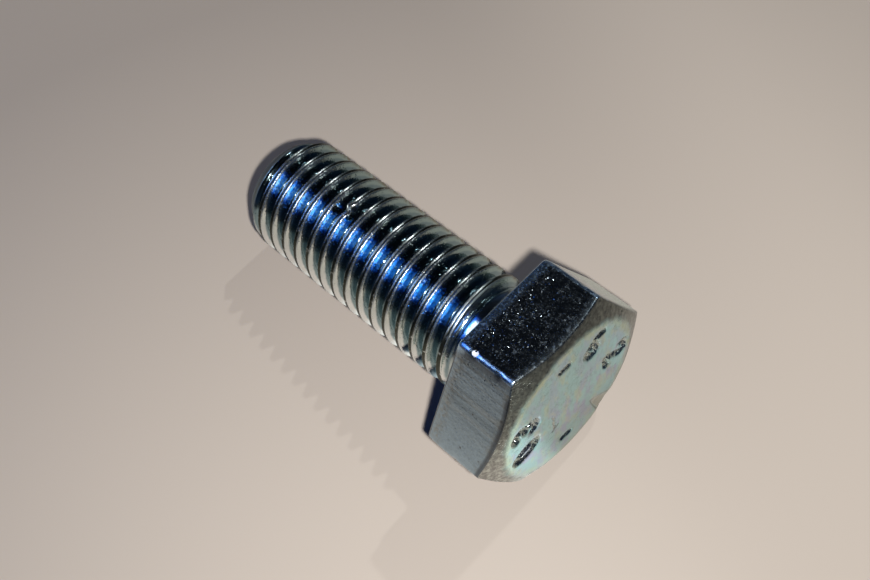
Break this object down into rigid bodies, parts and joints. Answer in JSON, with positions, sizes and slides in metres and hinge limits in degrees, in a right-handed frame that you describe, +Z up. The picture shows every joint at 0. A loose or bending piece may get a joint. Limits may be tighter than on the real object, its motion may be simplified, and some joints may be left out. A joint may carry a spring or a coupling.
{
  "type": "hex head screw",
  "caption": "Hex head screw in bright zinc-plated steel, threaded up to the head, lying at rest on one flat of its head and its tip.",
  "frame": {"origin": "centre of the bearing face under the head, on the screw's axis", "axes": "+Z up as the screw lies at rest; +X along the screw from the head toward the tip, level, with the screw's own axis in the XZ plane and dipping 6.75 degrees below +X toward the tip; +Y across two opposite corners of the head"},
  "size_m": [0.0389, 0.0216, 0.0194],
  "materials": {
    "zinc": "bright zinc plating with a faint blue-green passivation tint, lightly pitted"
  },
  "bodies": {
    "root": {"screw": "zinc"}
  },
  "joints": []
}
